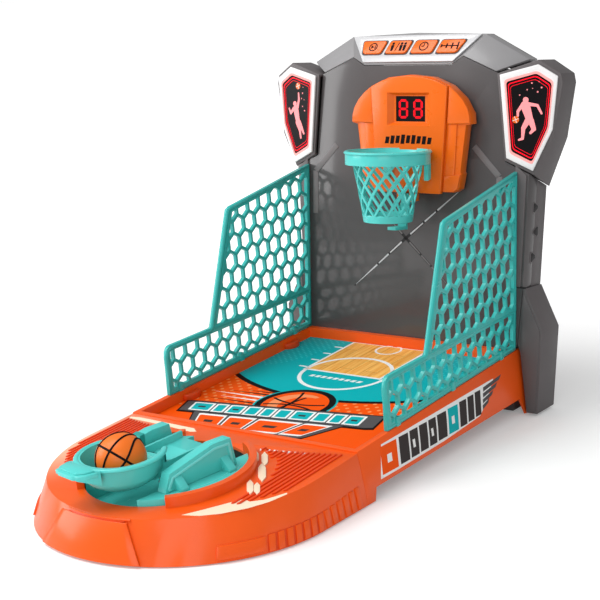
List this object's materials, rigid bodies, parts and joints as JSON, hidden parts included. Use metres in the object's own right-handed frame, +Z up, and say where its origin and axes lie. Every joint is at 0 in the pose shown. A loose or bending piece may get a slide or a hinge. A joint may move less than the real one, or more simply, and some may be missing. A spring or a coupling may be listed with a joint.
{
  "type": "tabletop basketball hoop machine",
  "caption": "Electronic tabletop basketball game with a sprung ball launcher on a swivel, a sloping netted court and a backboard that slides from side to side.",
  "frame": {"origin": "centre of the footprint's bounding box, on the ground", "axes": "+X to the player's right, +Y from the launcher to the hoop tower, +Z up"},
  "size_m": [0.268, 0.4362, 0.2971],
  "materials": {
    "front_housing": "moulded, satin gloss with printed deck",
    "front_grip_panel": "moulded, satin",
    "front_bottom_cover": "moulded, plain",
    "rubber_foot_1": "soft pad",
    "rubber_foot_2": "soft pad",
    "rubber_foot_3": "soft pad",
    "rubber_foot_4": "soft pad",
    "launcher_well": "moulded, plain",
    "rear_base": "moulded, satin gloss",
    "court_sheet": "printed plastic sheet",
    "net_panel_left": "moulded grille",
    "net_panel_right": "moulded grille",
    "tower_front": "moulded, gloss front",
    "tower_back": "moulded, matte",
    "battery_door": "moulded, matte",
    "battery_box": "moulded, plain",
    "speaker": "plain",
    "main_board": "circuit board",
    "tower_foot_left": "moulded, satin",
    "tower_foot_right": "moulded, satin",
    "tower_head_left": "moulded, gloss",
    "tower_head_right": "moulded, gloss",
    "badge_bezel_left": "moulded, gloss",
    "badge_bezel_right": "moulded, gloss",
    "badge_lens_left": "dark lens with a lit outline",
    "badge_lens_right": "dark lens with a lit outline",
    "header_cap": "moulded, gloss",
    "control_panel": "pale satin plate",
    "button_1": "moulded key",
    "button_2": "moulded key",
    "button_3": "moulded key",
    "button_4": "moulded key",
    "button_board": "circuit board",
    "power_switch": "sliding knob",
    "rail_lower": "polished rod",
    "rail_upper": "polished rod",
    "hoop_motor": "small motor can and shaft",
    "turntable": "moulded, satin gloss",
    "hub_screw": "screw",
    "guard_left": "moulded",
    "guard_right": "moulded",
    "arm_pivot_pin": "pin",
    "launch_spring": "wire",
    "launch_arm": "moulded",
    "ball": "soft shell, fine grain",
    "hoop_board": "moulded, printed front",
    "hoop_board_back": "moulded",
    "display_window": "tinted window",
    "display_module": "digit display block",
    "lever_pin": "pin",
    "hoop_ring": "moulded",
    "net_basket": "moulded lattice",
    "carriage_slider": "slippery plastic",
    "score_lever": "moulded",
    "drive_pinion": "slippery plastic"
  },
  "bodies": {
    "machine": {"front_housing": "front_housing", "front_grip_panel": "front_grip_panel", "front_bottom_cover": "front_bottom_cover", "rubber_foot_1": "rubber_foot_1", "rubber_foot_2": "rubber_foot_2", "rubber_foot_3": "rubber_foot_3", "rubber_foot_4": "rubber_foot_4", "launcher_well": "launcher_well", "rear_base": "rear_base", "court_sheet": "court_sheet", "net_panel_left": "net_panel_left", "net_panel_right": "net_panel_right", "tower_front": "tower_front", "tower_back": "tower_back", "battery_door": "battery_door", "battery_box": "battery_box", "speaker": "speaker", "main_board": "main_board", "tower_foot_left": "tower_foot_left", "tower_foot_right": "tower_foot_right", "tower_head_left": "tower_head_left", "tower_head_right": "tower_head_right", "badge_bezel_left": "badge_bezel_left", "badge_bezel_right": "badge_bezel_right", "badge_lens_left": "badge_lens_left", "badge_lens_right": "badge_lens_right", "header_cap": "header_cap", "control_panel": "control_panel", "button_board": "button_board", "rail_lower": "rail_lower", "rail_upper": "rail_upper", "hoop_motor": "hoop_motor"},
    "switch_knob": {"power_switch": "power_switch"},
    "key_1": {"button_1": "button_1"},
    "key_2": {"button_2": "button_2"},
    "key_3": {"button_3": "button_3"},
    "key_4": {"button_4": "button_4"},
    "swivel": {"turntable": "turntable", "hub_screw": "hub_screw", "guard_left": "guard_left", "guard_right": "guard_right", "arm_pivot_pin": "arm_pivot_pin", "launch_spring": "launch_spring"},
    "launcher": {"launch_arm": "launch_arm"},
    "loose_ball": {"ball": "ball"},
    "hoop": {"hoop_board": "hoop_board", "hoop_board_back": "hoop_board_back", "display_window": "display_window", "display_module": "display_module", "lever_pin": "lever_pin", "hoop_ring": "hoop_ring", "net_basket": "net_basket", "carriage_slider": "carriage_slider"},
    "lever": {"score_lever": "score_lever"},
    "pinion": {"drive_pinion": "drive_pinion"}
  },
  "joints": [
    {"name": "turntable_swivel", "type": "hinge", "parent": "machine", "child": "swivel", "pos_m": [0, -0.13203, 0.03219], "axis": [0, -0.0645, 0.9979], "range_deg": [-4, 26]},
    {"name": "launch_tab", "type": "hinge", "parent": "swivel", "child": "launcher", "pos_m": [0.00267, -0.1188, 0.04056], "axis": [0.9816, -0.1904, -0.0123], "range_deg": [0, 6], "stiffness_Nm_per_rad": 0.35, "springref_deg": -20.05, "deforming": ["launch_spring"]},
    {"name": "ball_lift", "type": "slide", "parent": "launcher", "child": "loose_ball", "axis": [0, -0.0645, 0.9979], "range_m": [0, 0.12]},
    {"name": "hoop_travel", "type": "slide", "parent": "machine", "child": "hoop", "axis": [1, 0, 0], "range_m": [-0.0375, 0.0145]},
    {"name": "pinion_turn", "type": "hinge", "parent": "machine", "child": "pinion", "pos_m": [0, 0.18016, 0.18335], "axis": [0, -0.9976, 0.0698], "range_deg": [-140, 360]},
    {"name": "score_lever_swing", "type": "hinge", "parent": "hoop", "child": "lever", "pos_m": [0.0115, 0.15927, 0.17148], "axis": [1, 0, 0], "range_deg": [0, 10], "stiffness_Nm_per_rad": 0.004, "springref_deg": -5.73},
    {"name": "power_slide", "type": "slide", "parent": "machine", "child": "switch_knob", "axis": [1, 0, 0], "range_m": [0, 0.005]},
    {"name": "button_1_press", "type": "slide", "parent": "machine", "child": "key_1", "axis": [0, 0.7752, -0.6317], "range_m": [0, 0.001], "stiffness_N_per_m": 600, "springref_m": -0.0006},
    {"name": "button_2_press", "type": "slide", "parent": "machine", "child": "key_2", "axis": [0, 0.7752, -0.6317], "range_m": [0, 0.001], "stiffness_N_per_m": 600, "springref_m": -0.0006},
    {"name": "button_3_press", "type": "slide", "parent": "machine", "child": "key_3", "axis": [0, 0.7752, -0.6317], "range_m": [0, 0.001], "stiffness_N_per_m": 600, "springref_m": -0.0006},
    {"name": "button_4_press", "type": "slide", "parent": "machine", "child": "key_4", "axis": [0, 0.7752, -0.6317], "range_m": [0, 0.001], "stiffness_N_per_m": 600, "springref_m": -0.0006}
  ],
  "couplings": [
    {"joint": "pinion_turn", "follows": "hoop_travel", "rad_per_m": -166.67}
  ]
}
